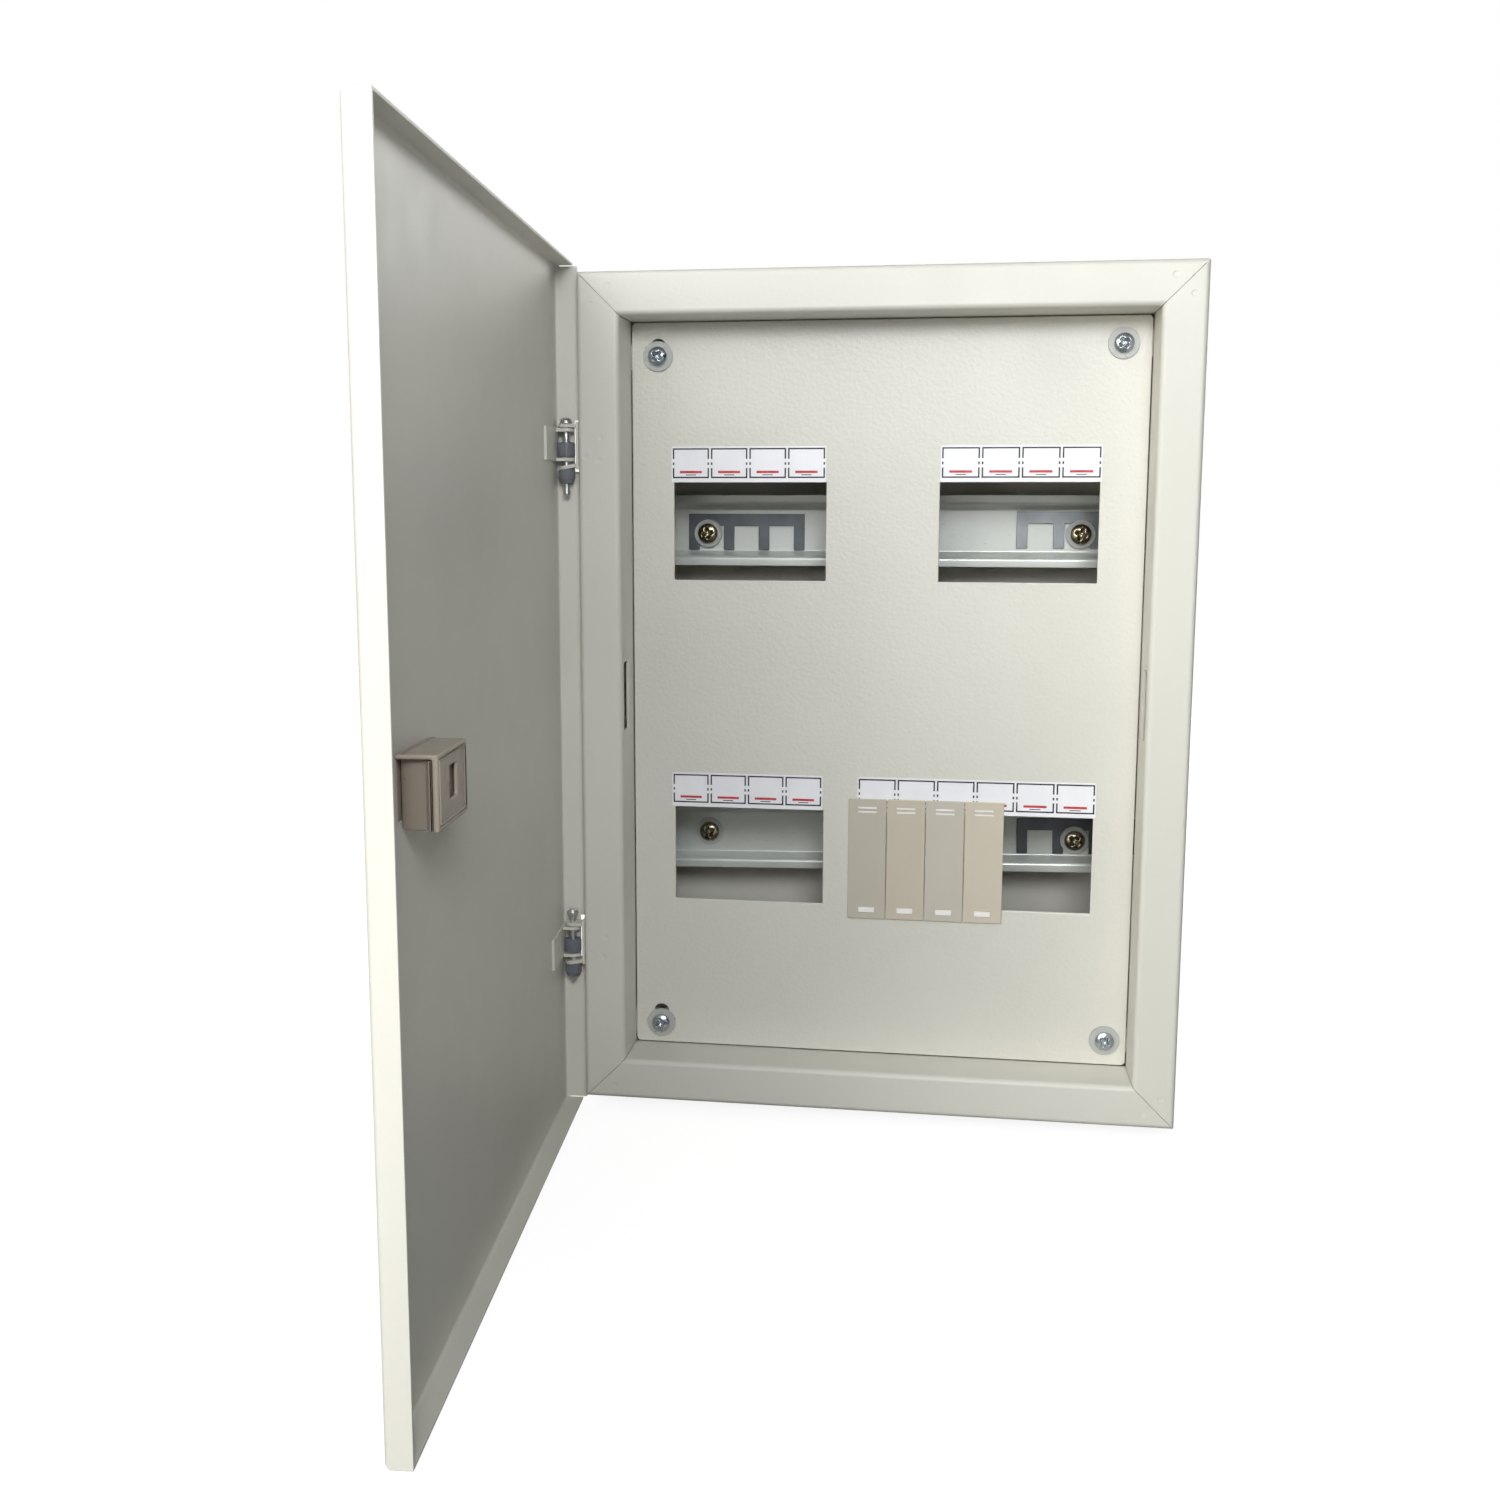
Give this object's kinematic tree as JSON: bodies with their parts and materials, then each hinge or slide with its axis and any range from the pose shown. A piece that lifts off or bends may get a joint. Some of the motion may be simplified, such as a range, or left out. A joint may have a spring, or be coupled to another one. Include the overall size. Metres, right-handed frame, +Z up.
{
  "type": "breaker panel box",
  "caption": "Wall-mounted sheet-steel breaker enclosure: hinged tray door with slide latch, recessed screwed cover with breaker windows, painted rails, comb busbars and blanking plates.",
  "frame": {"origin": "centre of the box's back face, which lies on the wall", "axes": "+Z up, +X to the right seen from the front, +Y from the door towards the wall; the front faces -Y"},
  "size_m": [0.2897, 0.3815, 0.3982],
  "materials": {
    "box_paint": "powder coat, fine orange peel",
    "frame_paint": "powder coat, fine orange peel",
    "cover_paint": "powder coat, fine orange peel",
    "door_paint": "powder coat, fine orange peel",
    "rail_paint": "powder coat",
    "hinge_steel": "painted steel with bare edges",
    "zinc_steel": "bright zinc plate",
    "passivated_steel": "yellow passivated zinc",
    "clear_plastic": "translucent washer",
    "tinned_copper": "dull tin plate",
    "blank_plastic": "fine moulded texture",
    "label_vinyl": "printed label with empty boxes",
    "brass": "machined",
    "insulator": "moulded",
    "dark_plastic": "moulded nylon",
    "latch_plastic": "moulded"
  },
  "bodies": {
    "box": {"body_shell": "box_paint", "top_plate": "box_paint", "bottom_plate": "box_paint", "frame_top": "frame_paint", "frame_bottom": "frame_paint", "frame_left": "frame_paint", "frame_right": "frame_paint", "corner_gussets": "box_paint", "cover_lugs": "box_paint", "cover_plate": "cover_paint", "cover_screws": "zinc_steel", "cover_washers": "clear_plastic", "din_rail_top": "rail_paint", "din_rail_bottom": "rail_paint", "rail_brackets": "box_paint", "rail_screws": "passivated_steel", "rail_washers": "clear_plastic", "busbar_top_left": "tinned_copper", "busbar_top_right": "tinned_copper", "busbar_bottom_right": "tinned_copper", "blank_plate_1": "blank_plastic", "blank_plate_2": "blank_plastic", "blank_plate_3": "blank_plastic", "blank_plate_4": "blank_plastic", "label_strip_1": "label_vinyl", "label_strip_2": "label_vinyl", "label_strip_3": "label_vinyl", "label_strip_4": "label_vinyl", "neutral_bar": "brass", "neutral_stands": "insulator", "neutral_screws": "zinc_steel", "earth_bar": "brass", "earth_posts": "zinc_steel", "earth_screws": "zinc_steel", "hinge_leaf_upper": "hinge_steel", "hinge_leaf_lower": "hinge_steel", "hinge_pin_upper": "zinc_steel", "hinge_pin_lower": "zinc_steel", "hinge_sleeves": "dark_plastic", "hinge_collars": "dark_plastic"},
    "door": {"door_panel": "door_paint", "door_leaf_upper": "hinge_steel", "door_leaf_lower": "hinge_steel", "latch_bezel": "latch_plastic", "latch_housing": "latch_plastic", "latch_spring": "zinc_steel"},
    "latch": {"latch_slider": "latch_plastic"}
  },
  "joints": [
    {"name": "door_swing", "type": "hinge", "parent": "box", "child": "door", "pos_m": [-0.1446, -0.0968, 0], "axis": [0, 0, 1], "range_deg": [-8, 86]},
    {"name": "latch_slide", "type": "slide", "parent": "door", "child": "latch", "axis": [0.0698, -0.9976, 0], "range_m": [0, 0.009], "deforming": ["latch_spring"]}
  ]
}
